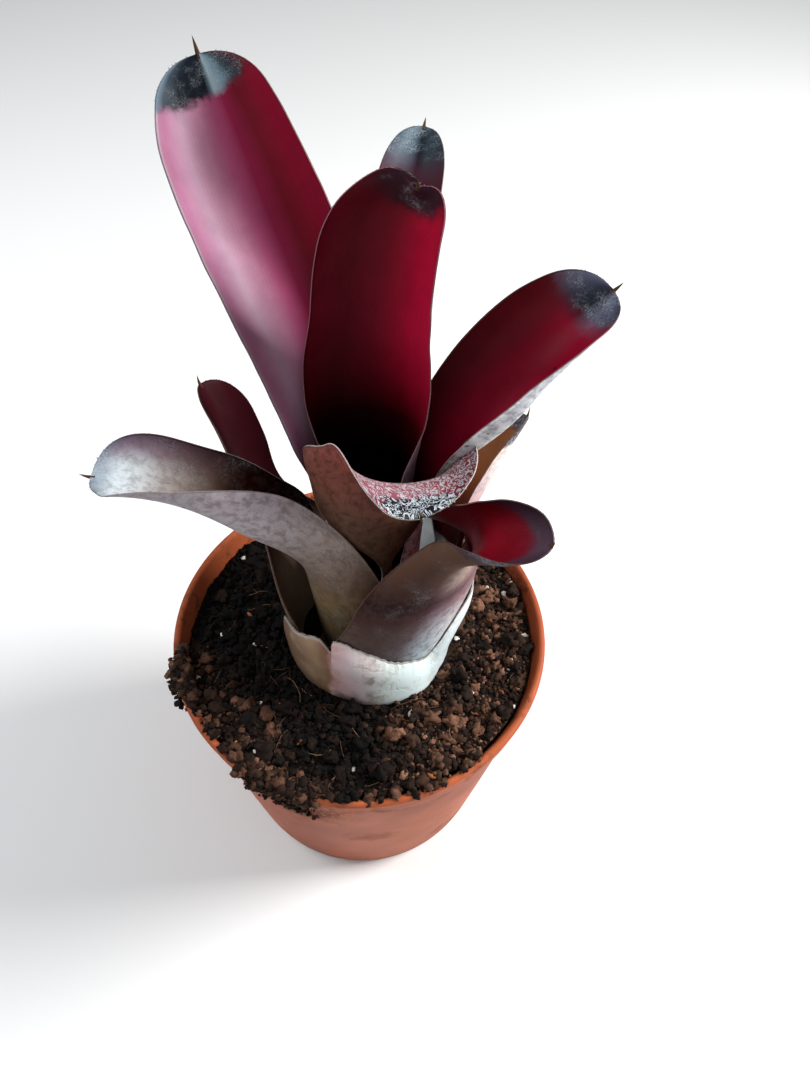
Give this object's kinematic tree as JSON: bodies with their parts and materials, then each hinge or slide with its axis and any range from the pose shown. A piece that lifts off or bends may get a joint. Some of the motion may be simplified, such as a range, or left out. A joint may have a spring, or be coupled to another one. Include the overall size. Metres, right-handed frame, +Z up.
{
  "type": "potted neoregelia bromeliad",
  "caption": "Young neoregelia bromeliad in a round tapered plastic pot: a leaning tube of overlapping strap leaves with rounded tips, standing in dark soil.",
  "frame": {"origin": "centre of the pot's flat underside", "axes": "+Z up; the plant leans towards +Y, the back; +X is to the right seen from the front"},
  "size_m": [0.1406, 0.1933, 0.2427],
  "materials": {
    "pot": "matt terracotta-coloured moulded plastic",
    "soil": null,
    "stem": "short fibrous stem",
    "old_sheath": null,
    "leaf": null
  },
  "bodies": {
    "root": {"pot": "pot", "soil": "soil", "stem": "stem", "old_sheath": "old_sheath", "leaf_left_back_short": "leaf", "leaf_right_front_short": "leaf", "leaf_right_back_short": "leaf", "leaf_back_narrow": "leaf", "leaf_left_spreading": "leaf", "leaf_front_recurved": "leaf", "leaf_right_long": "leaf", "leaf_left_back_long": "leaf", "leaf_centre_back": "leaf"}
  },
  "joints": []
}
